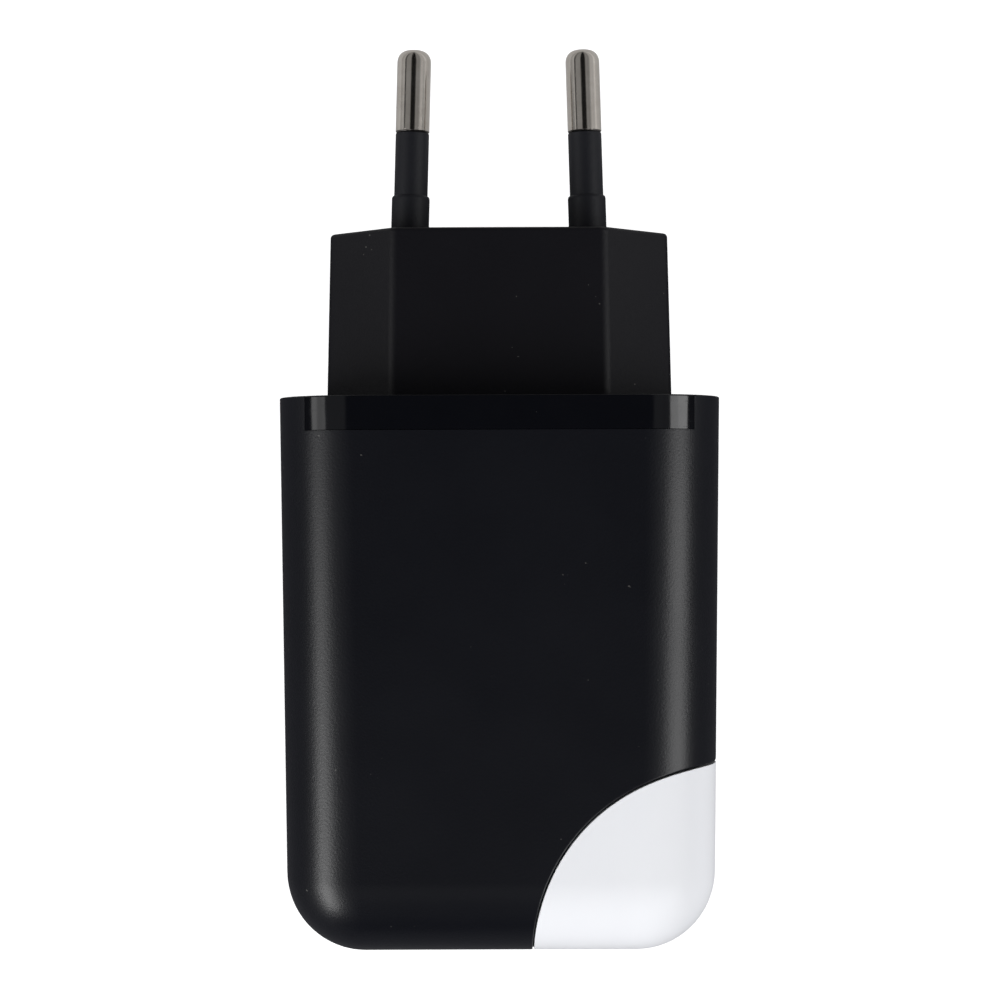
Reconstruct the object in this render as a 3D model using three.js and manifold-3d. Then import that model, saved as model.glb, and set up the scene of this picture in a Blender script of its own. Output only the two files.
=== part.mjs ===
// A plug-in USB wall charger: drafted housing, six-sided plug nose with two leaning round pins,
// glossy lid strip, white corner cap, two USB-A ports and the electronics between them.
// Millimetres. Y runs out of the wall plug along the pins, X to the right, Z up out of the wide front.
// The origin is the centre of the nose's end face, midway between the pins.
import * as THREE from 'three';
import { mergeVertices } from 'three/addons/utils/BufferGeometryUtils.js';
import Module from 'manifold-3d';

const wasm = await Module();
wasm.setup();

// ---------------------------------------------------------------- driving dimensions
const GAP = 0.3; // clearance between separate pieces
const SEAM = 0.2; // narrower clearance along the visible seams

const BODY_WIDTH = 44.8; // at the plug end
const BODY_THICK = 27.0; // at the plug end
const BODY_LENGTH = 56.3;
const BODY_DRAFT = 0.64; // degrees per side, narrowing towards the USB end
const EDGE_R = 8.0; // rounding of the four long edges and of the whole USB end
const END_RINGS = 7; // steps that the rounded end is drawn in
const WALL = 2.4;

const NOSE_HEIGHT = 17.35;
const NOSE_WIDTH = 35.3;
const NOSE_THICK = 13.7;
const NOSE_FLAT = 21.6; // width of the nose's front and back flats
const NOSE_DRAFT = 1.2; // degrees per side
const NOSE_WALL = 1.9;
const NOSE_SEAT = 6.5; // solid depth behind the end face that holds the pins
const FLANGE_THICK = 1.8;

const LID_RIM = 1.35; // lid beyond the nose on each side
const LID_THICK = 2.2;
const LID_LIP = 3.45; // depth of the lips over the wide faces
const SKIRT_THICK = 1.2;
const SKIRT_DEPTH = 5.0;

const PIN_LENGTH = 19.25; // beyond the end face
const PIN_SPREAD = 18.6; // centre distance at the end face
const PIN_TIP_SPREAD = 17.5; // centre distance at the tips
const PIN_D = 3.55;
const TIP_DOME = 1.3; // height of the rounded tip
const PIN_ROOT = 14.0; // length inside the nose
const BARE_TIP = 8.7; // metal beyond the sleeve
const SLEEVE_D = 3.5;
const COLLAR_D = 3.95;
const COLLAR_LENGTH = 3.95;
const SLEEVE_ROOT = 2.5; // sleeve inside the nose
const SHANK_D = 2.0; // pin inside its sleeve
const STRIP_W = 3.0;
const STRIP_T = 0.5;
const STRIP_FOOT = 1.2; // foot of a pin strip on the board

const CAP_R = 18.5; // quarter-round edge of the corner cap
const CAP_CENTRE_IN = 0.7; // its centre in from the USB end, level with the body's side there
const CAP_THICK = 1.1;
const CAP_LOW = 4.6; // height above the mid-plane where the cap ends on the side and the USB end
const PEG_D = 2.2;

const BOARD_THICK = 1.6;
const PORT_LIFT = 0.4; // ports above the board
const RIB = 1.3;

const PORT_SPACE = 2.5; // between the two shells
const SHELL_W = 13.1;
const SHELL_H = 5.72;
const SHELL_WALL = 0.3;
const SHELL_DEPTH = 13.4;
const SHELL_RECESS = 0.4; // mouth of the shell behind the end face
const TONGUE_SIDE = 0.7; // free space on each side of the tongue
const TONGUE_H = 1.84;
const TONGUE_Z = 0.98; // tongue centre above the port's middle
const TONGUE_RECESS = 2.5; // tongue tip behind the shell's mouth
const CONTACT_W = 1.0;
const CONTACT_T = 0.2;
const CONTACT_X = [-3.5, -1.0, 1.0, 3.5];

// ---------------------------------------------------------------- derived places
const bodyTop = -NOSE_HEIGHT;
const bodyEnd = bodyTop - BODY_LENGTH;
const draft = Math.tan(THREE.MathUtils.degToRad(BODY_DRAFT));
const noseDraft = Math.tan(THREE.MathUtils.degToRad(NOSE_DRAFT));
const endHalfWidth = BODY_WIDTH / 2 - draft * BODY_LENGTH;
const innerHalfWidth = endHalfWidth - WALL; // narrowest, at the USB end
const plateUnder = bodyTop - LID_THICK;
const flangeUnder = plateUnder - GAP - FLANGE_THICK;
const noseBaseHalf = NOSE_WIDTH / 2 + noseDraft * (-flangeUnder);
const lidHalf = NOSE_WIDTH / 2 + noseDraft * NOSE_HEIGHT + LID_RIM;
const boardHalf = innerHalfWidth - GAP;
const boardTop = -SHELL_H / 2 - PORT_LIFT;
const boardBottom = boardTop - BOARD_THICK;
const seat = boardTop + SEAM; // underside of what stands on the board
const under = boardBottom - SEAM; // top of what hangs below the board
const shellMouth = bodyEnd + SHELL_RECESS;
const shellBack = shellMouth + SHELL_DEPTH;
const boardEnd = bodyEnd + WALL + GAP;
const boardFront = flangeUnder - GAP;
const stripFoot = boardFront - STRIP_FOOT; // where the pin contact strips come down
const room = BODY_THICK / 2 - draft * BODY_LENGTH - WALL - boardTop; // height free above the board
const lean = Math.atan2((PIN_SPREAD - PIN_TIP_SPREAD) / 2, PIN_LENGTH);

// ---------------------------------------------------------------- helpers
const solid = (geometry) => {
  const bare = geometry.clone();
  bare.deleteAttribute('normal');
  bare.deleteAttribute('uv');
  const merged = mergeVertices(bare, 1e-4);
  return new wasm.Manifold(new wasm.Mesh({
    numProp: 3,
    vertProperties: new Float32Array(merged.attributes.position.array),
    triVerts: new Uint32Array(merged.index.array),
  }));
};

const toGeometry = (body) => {
  const mesh = body.getMesh();
  const geometry = new THREE.BufferGeometry();
  geometry.setAttribute('position', new THREE.BufferAttribute(new Float32Array(mesh.vertProperties), 3));
  geometry.setIndex(new THREE.BufferAttribute(new Uint32Array(mesh.triVerts), 1));
  geometry.computeVertexNormals();
  return geometry;
};

const roundedRect = (width, height, radius, x = 0, y = 0) => {
  const shape = new THREE.Shape();
  const [w, h, r] = [width / 2, height / 2, Math.min(radius, width / 2, height / 2)];
  shape.absarc(x + w - r, y + h - r, r, 0, Math.PI / 2);
  shape.absarc(x - w + r, y + h - r, r, Math.PI / 2, Math.PI);
  shape.absarc(x - w + r, y - h + r, r, Math.PI, 1.5 * Math.PI);
  shape.absarc(x + w - r, y - h + r, r, 1.5 * Math.PI, 2 * Math.PI);
  shape.closePath();
  return shape;
};

const polygon = (points) => new THREE.Shape(points.map(([x, y]) => new THREE.Vector2(x, y)));

// a shape drawn in X and Z, filling y from low to high in equal steps
const alongY = (shape, low, high, curveSegments = 6, steps = 1) => new THREE.ExtrudeGeometry(shape, {
  depth: high - low, bevelEnabled: false, curveSegments, steps,
}).rotateX(Math.PI / 2).translate(0, high, 0);

// a shape drawn in Y and Z, filling x from low to high
const alongX = (shape, low, high, curveSegments = 6) => new THREE.ExtrudeGeometry(shape, {
  depth: high - low, bevelEnabled: false, curveSegments,
}).applyMatrix4(new THREE.Matrix4().makeBasis(
  new THREE.Vector3(0, 1, 0), new THREE.Vector3(0, 0, 1), new THREE.Vector3(1, 0, 0),
)).translate(low, 0, 0);

const box = (x0, x1, y0, y1, z0, z1) => new THREE.BoxGeometry(x1 - x0, y1 - y0, z1 - z0)
  .translate((x0 + x1) / 2, (y0 + y1) / 2, (z0 + z1) / 2);

const rodZ = (x, y, z0, z1, d, sides = 20) => new THREE.CylinderGeometry(d / 2, d / 2, z1 - z0, sides)
  .rotateX(Math.PI / 2).translate(x, y, (z0 + z1) / 2);

const rodY = (x, z, y0, y1, d, sides = 20) => new THREE.CylinderGeometry(d / 2, d / 2, y1 - y0, sides)
  .translate(x, (y0 + y1) / 2, z);

// the body's outer form, or one set in from it, up to y = top. It narrows by the draft, and at the
// USB end the corners of its section shrink away in a quarter round, which rounds that end all over
const bodyForm = (inset, top) => {
  const radius = Math.max(EDGE_R - inset, 0.5);
  const half = { X: BODY_WIDTH / 2 - inset, Z: BODY_THICK / 2 - inset };
  const geometry = alongY(roundedRect(2 * half.X, 2 * half.Z, radius), 0, END_RINGS, 6, END_RINGS);
  const place = geometry.attributes.position;
  for (let i = 0; i < place.count; i += 1) {
    const ring = Math.round(place.getY(i));
    const angle = (Math.min(ring / (END_RINGS - 1), 1) * Math.PI) / 2;
    const y = ring === END_RINGS ? top : bodyEnd + inset + radius * (1 - Math.cos(angle));
    const corner = Math.max(Math.sin(angle), 0.02); // share of the full radius, never quite none
    for (const axis of ['X', 'Z']) {
      const at = place[`get${axis}`](i);
      const core = half[axis] - radius; // where the section's straight sides end
      const straight = Math.max(-core, Math.min(core, at));
      const narrowed = straight * (1 - (draft * (bodyTop - y)) / core);
      place[`set${axis}`](i, narrowed + (at - straight) * corner);
    }
    place.setY(i, y);
  }
  return solid(geometry);
};

const hexagon = (grow) => {
  const [half, thick, flat] = [NOSE_WIDTH / 2 + grow, NOSE_THICK / 2 + grow, NOSE_FLAT / 2 + grow * 0.414];
  return polygon([[half, 0], [flat, thick], [-flat, thick], [-half, 0], [-flat, -thick], [flat, -thick]]);
};

// the nose's six-sided prism, wider towards the body, grown all round by grow
const noseForm = (grow, low, high) => {
  const geometry = alongY(hexagon(grow), low, high);
  const place = geometry.attributes.position;
  for (let i = 0; i < place.count; i += 1) {
    const wide = -noseDraft * place.getY(i);
    place.setX(i, place.getX(i) * (1 + wide / (NOSE_WIDTH / 2)));
    place.setZ(i, place.getZ(i) * (1 + wide / (NOSE_THICK / 2)));
  }
  return solid(geometry);
};

// turned pieces: [radius, height] pairs spun about Y, then leaned and moved to a pin's place
const turned = (profile, sides, side) => new THREE.LatheGeometry(
  profile.map(([r, y]) => new THREE.Vector2(r, y)), sides,
).rotateZ(side * lean).translate(side * PIN_SPREAD / 2, 0, 0);

// ---------------------------------------------------------------- materials and the group
const group = new THREE.Group();
const finish = (color, roughness, metalness = 0) => ({ color, roughness, metalness });
const MATTE = finish(0x15161a, 0.55);
const GLOSS = finish(0x0b0c10, 0.08);
const SLEEVE = finish(0x202126, 0.5);
const NICKEL = finish(0xb4afa6, 0.22, 1);
const WHITE = finish(0xe6e8eb, 0.35);
const STEEL = finish(0xc4c6c8, 0.3, 1);
const GOLD = finish(0xc9a24a, 0.3, 1);
const BOARD = finish(0x1f5a35, 0.45);
const FERRITE = finish(0x2a2a2c, 0.7);
const TAPE = finish(0xd9b23a, 0.35);
const BLACK = finish(0x1b1b1d, 0.6);
const CAN = finish(0x1c2a4a, 0.35);
const CERAMIC = finish(0x2f5fa8, 0.45);

const place = (name, shape, look) => {
  const geometry = shape instanceof THREE.BufferGeometry ? toGeometry(solid(shape)) : toGeometry(shape);
  const mesh = new THREE.Mesh(geometry, new THREE.MeshStandardMaterial(look));
  mesh.name = name;
  group.add(mesh);
};

// ---------------------------------------------------------------- housing
const ribZ = [[boardTop + GAP, boardTop + GAP + RIB], [boardBottom - GAP - RIB, boardBottom - GAP]];
const ribs = ribZ.flatMap(([z0, z1]) => [-1, 1].map((side) => {
  const [a, b] = [side * (boardHalf - 1.2), side * BODY_WIDTH / 2];
  return solid(box(Math.min(a, b), Math.max(a, b), shellBack + 1, boardFront - 4, z0, z1));
})).reduce((all, rib) => all.add(rib)).intersect(bodyForm(WALL / 2, bodyTop - 1));

const capCentre = [endHalfWidth, bodyEnd + CAP_CENTRE_IN];
const capRound = (radius, low) => solid(rodZ(...capCentre, low, BODY_THICK, 2 * radius, 96));
const pegPlaces = [[-10.5, 5.5], [-5.5, 10.5]].map(([x, y]) => [capCentre[0] + x, capCentre[1] + y]);
const wallBack = BODY_THICK / 2 - WALL - 1.6; // pegs end here, inside the shell

let housing = bodyForm(0, bodyTop)
  .subtract(bodyForm(WALL, plateUnder))
  .subtract(solid(box(-lidHalf, lidHalf, bodyTop - LID_LIP, bodyTop + 1, -BODY_THICK, BODY_THICK)))
  .add(ribs)
  .subtract(capRound(CAP_R + SEAM, CAP_LOW - SEAM).subtract(bodyForm(CAP_THICK + SEAM, bodyTop)));
const portX = (SHELL_W + PORT_SPACE) / 2;
const ports = [['left', -portX], ['right', portX]];
for (const [, x] of ports) {
  const window = roundedRect(SHELL_W + 2 * GAP, SHELL_H + 2 * GAP, 0.9, x, 0);
  const mouth = roundedRect(SHELL_W + 2 * GAP + 0.8, SHELL_H + 2 * GAP + 0.8, 1.2, x, 0);
  housing = housing
    .subtract(solid(alongY(window, bodyEnd - 1, bodyEnd + WALL + 1)))
    .subtract(solid(alongY(mouth, bodyEnd - 1, bodyEnd + 0.4)));
}
for (const [x, y] of pegPlaces) {
  housing = housing.subtract(solid(rodZ(x, y, wallBack - 1, BODY_THICK, PEG_D + 2 * GAP, 16)));
}
place('main_housing', housing, MATTE);

// ---------------------------------------------------------------- corner cap
const capSkin = bodyForm(CAP_THICK, bodyTop);
const pegEnd = bodyForm(CAP_THICK / 2, bodyTop); // pegs reach halfway into the cap's thickness
let cap = capRound(CAP_R, CAP_LOW).intersect(bodyForm(0, bodyTop)).subtract(capSkin);
for (const [x, y] of pegPlaces) {
  cap = cap.add(solid(rodZ(x, y, wallBack, BODY_THICK / 2, PEG_D, 16)).intersect(pegEnd));
}
place('corner_cap', cap, WHITE);

// ---------------------------------------------------------------- lid
const lidSeat = lidHalf - SEAM;
let lid = bodyForm(0, bodyTop)
  .intersect(solid(box(-lidSeat, lidSeat, bodyTop - LID_LIP + SEAM, bodyTop + 1, -BODY_THICK, BODY_THICK)))
  .subtract(bodyForm(WALL, plateUnder));
const skirtShape = (inset) => bodyForm(WALL + GAP + inset, plateUnder + 0.5);
const skirtHalf = lidSeat - 4;
const skirt = skirtShape(0).subtract(skirtShape(SKIRT_THICK)).intersect(solid(
  box(-skirtHalf, skirtHalf, plateUnder - SKIRT_DEPTH, plateUnder + 0.4, -BODY_THICK, BODY_THICK)));
lid = lid.add(skirt).subtract(noseForm(SEAM, bodyTop - LID_LIP, 0));
place('gloss_lid', lid, GLOSS);

// ---------------------------------------------------------------- plug block
const flangeHalfWidth = BODY_WIDTH / 2 - WALL - draft * (bodyTop - flangeUnder) - 2 * GAP;
const flangeHalfThick = BODY_THICK / 2 - WALL - draft * (bodyTop - flangeUnder) - 3 * GAP - SKIRT_THICK;
const flange = roundedRect(2 * flangeHalfWidth, 2 * flangeHalfThick, EDGE_R - WALL);
let nose = noseForm(0, flangeUnder, 0)
  .add(solid(alongY(flange, flangeUnder, plateUnder - GAP)))
  .subtract(noseForm(-NOSE_WALL, flangeUnder - 1, -NOSE_SEAT));
for (const side of [-1, 1]) {
  const [wide, narrow] = [COLLAR_D / 2 + GAP, SHANK_D / 2 + GAP];
  const sleeveBore = [[0, -SLEEVE_ROOT - GAP], [wide, -SLEEVE_ROOT - GAP], [wide, 2], [0, 2]];
  const pinBore = [[0, -PIN_ROOT], [narrow, -PIN_ROOT], [narrow, 1], [0, 1]];
  nose = nose.subtract(solid(turned(sleeveBore, 28, side))).subtract(solid(turned(pinBore, 16, side)));
}
place('plug_block', nose, MATTE);

// ---------------------------------------------------------------- pins and sleeves
const sleeveTop = PIN_LENGTH - BARE_TIP;
const dome = (radius, height, top, steps) => Array.from({ length: steps + 1 }, (_, i) => {
  const t = (i / steps) * Math.PI / 2;
  return [radius * Math.cos(t), top - height + height * Math.sin(t)];
});
const headR = PIN_D / 2;
for (const [name, side] of [['left', -1], ['right', 1]]) {
  const tip = dome(headR, TIP_DOME, PIN_LENGTH, 6);
  tip[tip.length - 1][0] = 0;
  const pin = [[0, -PIN_ROOT], [SHANK_D / 2, -PIN_ROOT], [SHANK_D / 2, sleeveTop + SEAM],
    [headR, sleeveTop + SEAM], ...tip];
  place(`pin_${name}`, turned(pin, 28, side), NICKEL);
  const [bore, outer, collar] = [SHANK_D / 2 + SEAM, SLEEVE_D / 2, COLLAR_D / 2];
  const sleeve = [[bore, -SLEEVE_ROOT], [collar, -SLEEVE_ROOT], [collar, COLLAR_LENGTH - 0.25],
    [collar - 0.2, COLLAR_LENGTH], [outer, COLLAR_LENGTH], [outer, sleeveTop - 0.15],
    [outer - 0.15, sleeveTop], [bore, sleeveTop], [bore, -SLEEVE_ROOT]];
  place(`sleeve_${name}`, turned(sleeve, 28, side), SLEEVE);
  // strip from the pin's inner end down to the board
  const pinEnd = -PIN_ROOT - GAP;
  const x = side * (PIN_SPREAD / 2 + Math.sin(lean) * PIN_ROOT);
  const [t, rest, foot] = [STRIP_T, stripFoot + STRIP_T, boardFront - SEAM];
  const strip = polygon([[pinEnd, 1.1], [pinEnd, -1.1], [pinEnd - t, -1.1], [pinEnd - t, 0.4],
    [rest, 0.4], [rest, seat + t], [foot, seat + t], [foot, seat],
    [stripFoot, seat], [stripFoot, 0.4 + t], [pinEnd - t, 0.4 + t], [pinEnd - t, 1.1]]);
  place(`pin_strip_${name}`, alongX(strip, x - STRIP_W / 2, x + STRIP_W / 2), GOLD);
}

// ---------------------------------------------------------------- circuit board and what stands on it
// its corners follow the inside of the housing's rounded end
const blank = box(-boardHalf, boardHalf, boardEnd, boardFront, boardBottom, boardBottom + BOARD_THICK);
place('main_board', solid(blank).intersect(bodyForm(WALL + GAP, bodyTop)), BOARD);

const rowBack = shellBack + 1.2; // first row behind the ports
const CORE_W = 13.0;
const CORE_L = 14.0;
const COIL_HEADROOM = 1.0;
const CORE_H = room - COIL_HEADROOM - 1.7;
const coreX = -boardHalf + 2 + CORE_W / 2;
const coreY = rowBack + 1 + CORE_L / 2;
const coreZ = seat + 1.6;
const leg = 3.2;
const eCore = (dir) => {
  // an E lying in the X-Z plane of symmetry: back plus three legs, half of the core's length
  const half = CORE_L / 2 - 0.15;
  const back = solid(box(-CORE_W / 2, CORE_W / 2, half - leg, half, 0, CORE_H - 2.4));
  const legs = [-1, 0, 1].map((i) => {
    const w = i === 0 ? leg * 1.1 : leg * 0.6;
    const cx = i * (CORE_W / 2 - leg * 0.3);
    return solid(box(cx - w / 2, cx + w / 2, 0.05, half - leg + 0.1, 0, CORE_H - 2.4));
  });
  const shape = toGeometry(legs.reduce((all, one) => all.add(one), back));
  if (dir < 0) shape.rotateZ(Math.PI);
  return shape.translate(coreX, coreY, coreZ);
};
place('core_half_front', eCore(1), FERRITE);
place('core_half_back', eCore(-1), FERRITE);
const slotHalf = CORE_W / 2 - leg * 0.6 - GAP;
const centreHalf = leg * 0.55 + GAP;
const coilHalf = CORE_L / 2 - leg - GAP;
const bobbinTop = CORE_H - 2.4 + coreZ;
const bobbin = solid(box(coreX - slotHalf, coreX + slotHalf, coreY - coilHalf, coreY + coilHalf,
  seat, coreZ - GAP))
  .add(solid(box(coreX - centreHalf - 0.6, coreX + centreHalf + 0.6, coreY - coilHalf, coreY + coilHalf,
    coreZ - GAP - 0.1, bobbinTop + GAP + 0.8)))
  .subtract(solid(box(coreX - centreHalf, coreX + centreHalf, coreY - coilHalf - 1, coreY + coilHalf + 1,
    coreZ - GAP, bobbinTop + GAP)));
place('bobbin', bobbin, BLACK);
const coilIn = centreHalf + 0.6 + SEAM;
const coilLow = coreZ - GAP + SEAM;
const coilInTop = bobbinTop + GAP + 0.8 + SEAM;
const coilTop = coilInTop + 1.2;
const coil = solid(alongY(roundedRect(2 * slotHalf, coilTop - coilLow, 2, coreX, (coilTop + coilLow) / 2),
  coreY - coilHalf + 0.2, coreY + coilHalf - 0.2))
  .subtract(solid(box(coreX - coilIn, coreX + coilIn, coreY - 10, coreY + 10, coilLow - 1, coilInTop)));
place('winding', coil, TAPE);

// round can with a rolled neck, standing on the board
const canRound = (x, y, d, h, look, name) => {
  const r = d / 2;
  const profile = [[0, 0], [r - 0.4, 0], [r, 0.4], [r, 1.2], [r - 0.35, 1.6], [r, 2.0],
    [r, h - 0.4], [r - 0.4, h], [0, h]];
  const can = new THREE.LatheGeometry(profile.map(([a, b]) => new THREE.Vector2(a, b)), 24)
    .rotateX(Math.PI / 2).translate(x, y, seat);
  place(name, can, look);
};
const outX = coreX + CORE_W / 2 + 4.2;
canRound(outX, rowBack + 3.6, 6.3, 9, CAN, 'output_capacitor_1');
canRound(outX, rowBack + 10.6, 6.3, 9, CAN, 'output_capacitor_2');
const fuseX = boardHalf - 3.4;
place('fuse', rodY(fuseX, seat + 2.2, rowBack + 1, rowBack + 10, 3.8), FERRITE);
const yCapX = (outX + 3.15 + fuseX - 1.9) / 2;
place('safety_capacitor', new THREE.CylinderGeometry(3.6, 3.6, 3.2, 24).rotateZ(Math.PI / 2)
  .translate(yCapX, rowBack + 5, seat + 4.2), CERAMIC);

const rowFront = rowBack + CORE_L + 2.4; // second row, towards the plug
canRound(-boardHalf + 6.2, rowFront + 4.2, 8, room - 1.7, CAN, 'input_capacitor_1');
canRound(-boardHalf + 15.0, rowFront + 4.2, 8, room - 1.7, CAN, 'input_capacitor_2');
const drum = [[0, 0], [3.4, 0], [3.4, 1], [2.6, 1], [2.6, 6], [3.4, 6], [3.4, 7], [0, 7]];
place('input_choke', new THREE.LatheGeometry(drum.map(([a, b]) => new THREE.Vector2(a, b)), 24)
  .rotateX(Math.PI / 2).translate(boardHalf - 13.5, rowFront + 4.2, seat), FERRITE);
place('optocoupler', box(boardHalf - 7.6, boardHalf - 3, rowFront + 1, rowFront + 7.4,
  seat, seat + 3.4), BLACK);

const chip = (name, x, y, w, l, h) => place(name,
  box(x - w / 2, x + w / 2, y - l / 2, y + l / 2, under - h, under), BLACK);
chip('controller_chip', -boardHalf / 2, rowFront - 3, 5, 4, 1.6);
chip('bridge_rectifier', boardHalf / 2, rowFront + 3, 6.4, 8.2, 2.2);
chip('output_rectifier', 0, rowBack + 3, 4.6, 7, 2.1);

// ---------------------------------------------------------------- USB ports
const tongueHalf = SHELL_W / 2 - SHELL_WALL - TONGUE_SIDE;
const tongueTip = shellMouth + TONGUE_RECESS;
const blockFront = shellBack - 2.6;
const grooveTop = TONGUE_Z - TONGUE_H / 2 + 0.95;
const root = blockFront - GAP; // the contacts' inner ends
for (const [name, x] of ports) {
  const ring = solid(alongY(roundedRect(SHELL_W, SHELL_H, 0.7, x), shellMouth, shellBack, 3))
    .subtract(solid(alongY(roundedRect(SHELL_W - 2 * SHELL_WALL, SHELL_H - 2 * SHELL_WALL, 0.4, x),
      shellMouth - 1, shellBack + 1, 3)));
  // windows left by the plug-gripping springs, two in each wide wall
  const grips = [-3, 3].map((dx) => solid(
    box(x + dx - 1.1, x + dx + 1.1, shellMouth + 3.2, shellMouth + 8, -9, 9),
  )).reduce((all, one) => all.add(one));
  place(`usb_shell_${name}`, ring.subtract(grips), STEEL);

  const [halfW, halfH] = [SHELL_W / 2 - SHELL_WALL - SEAM, SHELL_H / 2 - SHELL_WALL - SEAM];
  let tongue = solid(box(x - halfW, x + halfW, blockFront, shellBack - 0.3, -halfH, halfH))
    .add(solid(box(x - tongueHalf, x + tongueHalf, tongueTip, blockFront + 0.5,
      TONGUE_Z - TONGUE_H / 2, TONGUE_Z + TONGUE_H / 2)));
  for (const dx of CONTACT_X) {
    tongue = tongue.subtract(solid(box(x + dx - CONTACT_W / 2 - SEAM, x + dx + CONTACT_W / 2 + SEAM,
      tongueTip + 0.5, blockFront - 0.001, -1, grooveTop)));
  }
  place(`usb_tongue_${name}`, tongue, BLACK);

  const length = root - tongueTip - 1.0;
  const t = CONTACT_T;
  const low = grooveTop - 0.62; // underside of a contact at its root
  const line = [[0, low], [-length * 0.55, low - 0.35], [-length * 0.82, low - 0.85], [-length, low - 0.35]];
  const leaf = polygon([...line.map(([y, z]) => [root + y, z]),
    ...line.slice().reverse().map(([y, z]) => [root + y, z + t])]);
  CONTACT_X.forEach((dx, i) => {
    place(`contact_${name}_${i + 1}`, alongX(leaf, x + dx - CONTACT_W / 2, x + dx + CONTACT_W / 2), GOLD);
  });
}

export default group;
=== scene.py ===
# %% [markdown]
# # A plug-in USB wall charger
#
# The charger is a drafted black housing with a six-sided plug nose, two leaning round pins in
# insulating sleeves, a polished lid strip around the nose, a white cap on one corner and two USB
# ports in the far end. It lies on its wide back: Z points out of the wide front, Y runs out
# along the pins, and the origin is the middle of the nose's end face.
#
# An engineering model already fixes every size and place. It is loaded first, and each visible
# piece is then made again with a fine surface and a finish, in the same frame, so that nothing
# has to be fitted afterwards.

# %% Load the engineering model
import math

import bmesh
import bpy
import numpy as np
from mathutils import Matrix, Vector


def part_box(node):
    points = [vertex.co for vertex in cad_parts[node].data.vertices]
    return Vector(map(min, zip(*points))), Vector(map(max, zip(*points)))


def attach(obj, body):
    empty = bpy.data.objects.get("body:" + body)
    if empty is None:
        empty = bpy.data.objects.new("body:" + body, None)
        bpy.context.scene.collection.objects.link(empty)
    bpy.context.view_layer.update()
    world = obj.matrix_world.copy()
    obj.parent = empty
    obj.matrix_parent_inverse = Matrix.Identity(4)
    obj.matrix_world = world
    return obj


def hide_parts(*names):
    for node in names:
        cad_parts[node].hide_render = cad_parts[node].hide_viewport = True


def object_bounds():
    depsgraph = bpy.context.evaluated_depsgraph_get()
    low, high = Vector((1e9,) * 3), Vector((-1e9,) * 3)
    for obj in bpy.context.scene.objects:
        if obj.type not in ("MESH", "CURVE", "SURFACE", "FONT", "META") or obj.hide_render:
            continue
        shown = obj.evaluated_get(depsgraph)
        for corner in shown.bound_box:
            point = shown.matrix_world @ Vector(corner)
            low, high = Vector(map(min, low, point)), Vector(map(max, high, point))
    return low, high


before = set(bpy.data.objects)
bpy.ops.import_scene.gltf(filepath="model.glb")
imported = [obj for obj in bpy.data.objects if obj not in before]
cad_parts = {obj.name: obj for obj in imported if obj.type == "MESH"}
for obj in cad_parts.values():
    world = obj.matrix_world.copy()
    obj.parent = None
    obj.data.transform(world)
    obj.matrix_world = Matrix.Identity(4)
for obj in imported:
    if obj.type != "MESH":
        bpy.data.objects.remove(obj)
cad_box = [list(corner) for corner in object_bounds()]
MM = 0.001


# %% [markdown]
# The script thinks in millimetres, as a drawing does, and turns them into metres only when a
# mesh is written. Places come from the engineering model's own boxes.

# %% A node's box in millimetres
def node_box(name):
    """A node's lowest and highest corners, in millimetres."""
    low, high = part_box(name)
    return np.array(low) / MM, np.array(high) / MM


whole_low, whole_high = (np.array(corner) / MM for corner in cad_box)
print("whole charger:", np.round(whole_high - whole_low, 1), "mm")

# %% [markdown]
# ## Writing shader sums as formulas
#
# A Blender material is a graph of nodes. Drawing it by hand is fine for a few nodes, but masks
# and mixes are formulas, and they read better as formulas. One small class holds a node's
# output socket, and each operator on it adds the Math node that does that sum.

# %% A socket that does arithmetic
class Wire:
    """A node's output. Arithmetic on it adds Math nodes to the same graph."""

    def __init__(self, graph, socket):
        self.graph, self.socket = graph, socket

    def math(self, operation, first, second):
        return self.graph.node("Math", {"operation": operation}, {0: first, 1: second})

    def __add__(self, other):
        return self.math("ADD", self, other)

    def __sub__(self, other):
        return self.math("SUBTRACT", self, other)

    def __rsub__(self, other):
        return self.math("SUBTRACT", other, self)

    def __mul__(self, other):
        return self.math("MULTIPLY", self, other)

    __radd__, __rmul__ = __add__, __mul__


# %% [markdown]
# Every other node comes from one method. It takes the node's type, its settings, which are set
# first because some of them change the sockets, and the values or wires of its sockets.

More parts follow.
